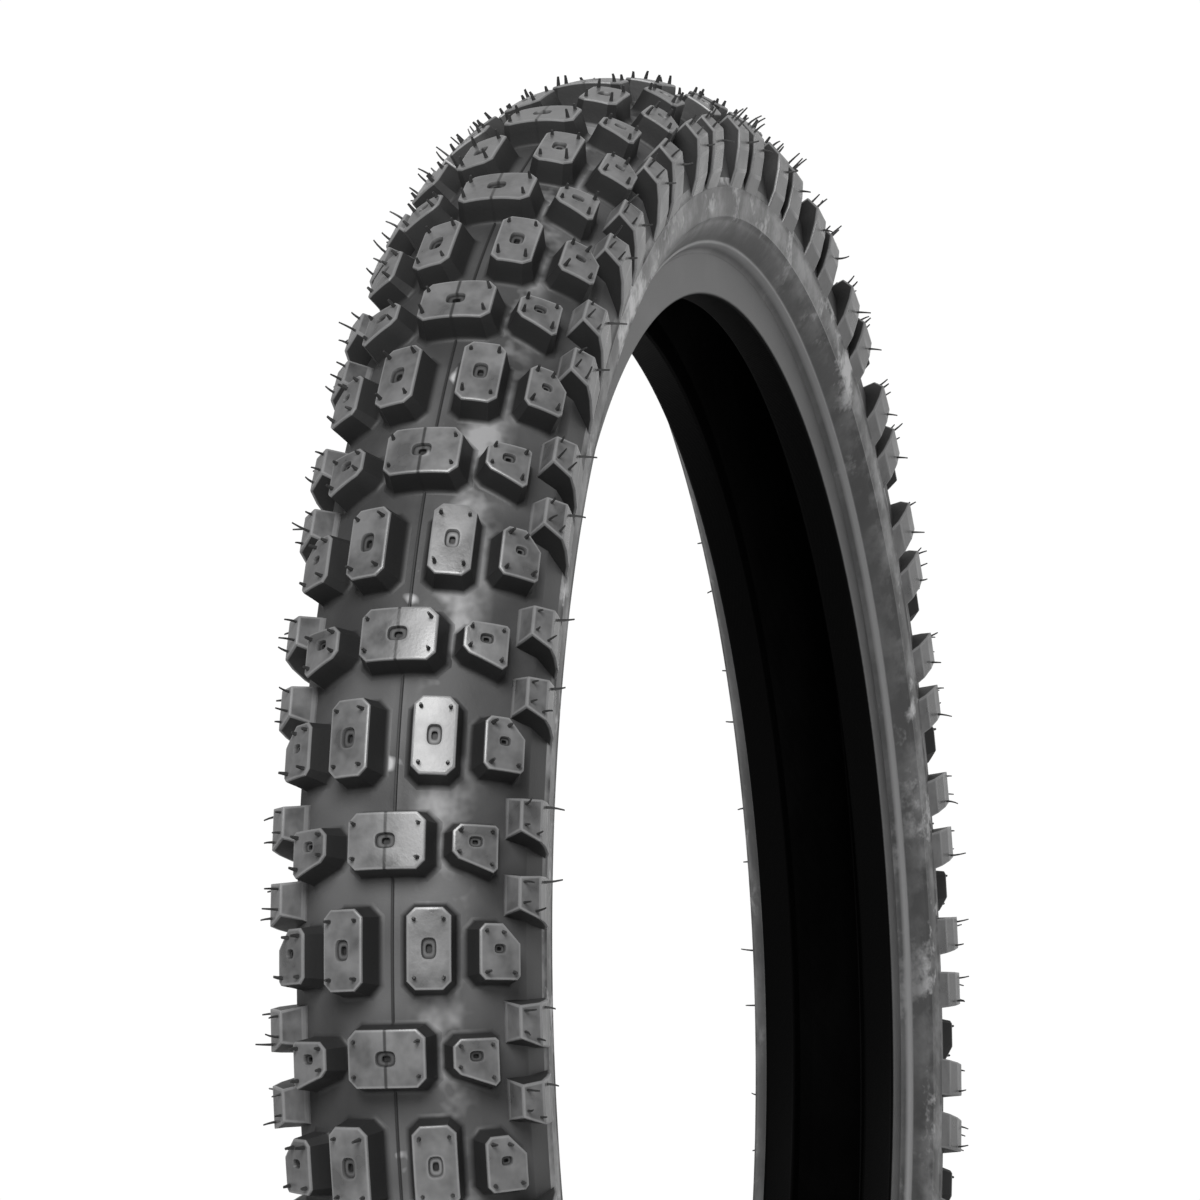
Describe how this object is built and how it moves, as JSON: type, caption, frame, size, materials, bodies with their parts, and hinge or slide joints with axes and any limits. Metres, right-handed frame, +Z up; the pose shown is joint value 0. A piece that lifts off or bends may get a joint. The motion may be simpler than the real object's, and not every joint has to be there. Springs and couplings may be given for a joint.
{
  "type": "motorcycle tire",
  "caption": "Narrow off-road motorcycle tire with block tread, paired and single centre blocks, shoulder and edge knobs, plain sidewalls and wire beads.",
  "frame": {"origin": "wheel centre, on the axle line and midway between the two sidewalls", "axes": "+Y along the wheel axle to the left side, +Z up, +X forward; a centre block's flat top is straight below the origin"},
  "size_m": [0.7, 0.0902, 0.7],
  "materials": {
    "tread_rubber": "moulded black rubber, satin, scuffed lighter on the block tops",
    "sidewall_rubber": "smooth moulded black rubber, satin, with a faint grey bloom",
    "inner_rubber": "matt black rubber",
    "liner_rubber": "dark butyl rubber with a fine bladder-print texture",
    "chafer_rubber": "rubber-coated woven strip, fine weave, satin",
    "nylon_cord": "rubberised nylon cord, matt",
    "bead_steel": "bronze-coated bead wire"
  },
  "bodies": {
    "root": {"tread_band": "tread_rubber", "undertread": "inner_rubber", "breaker": "nylon_cord", "outer_ply": "nylon_cord", "inner_ply": "nylon_cord", "inner_liner": "liner_rubber", "sidewall_left": "sidewall_rubber", "sidewall_right": "sidewall_rubber", "chafer_left": "chafer_rubber", "chafer_right": "chafer_rubber", "bead_filler_left": "inner_rubber", "bead_filler_right": "inner_rubber", "bead_wire_left": "bead_steel", "bead_wire_right": "bead_steel"}
  },
  "joints": []
}
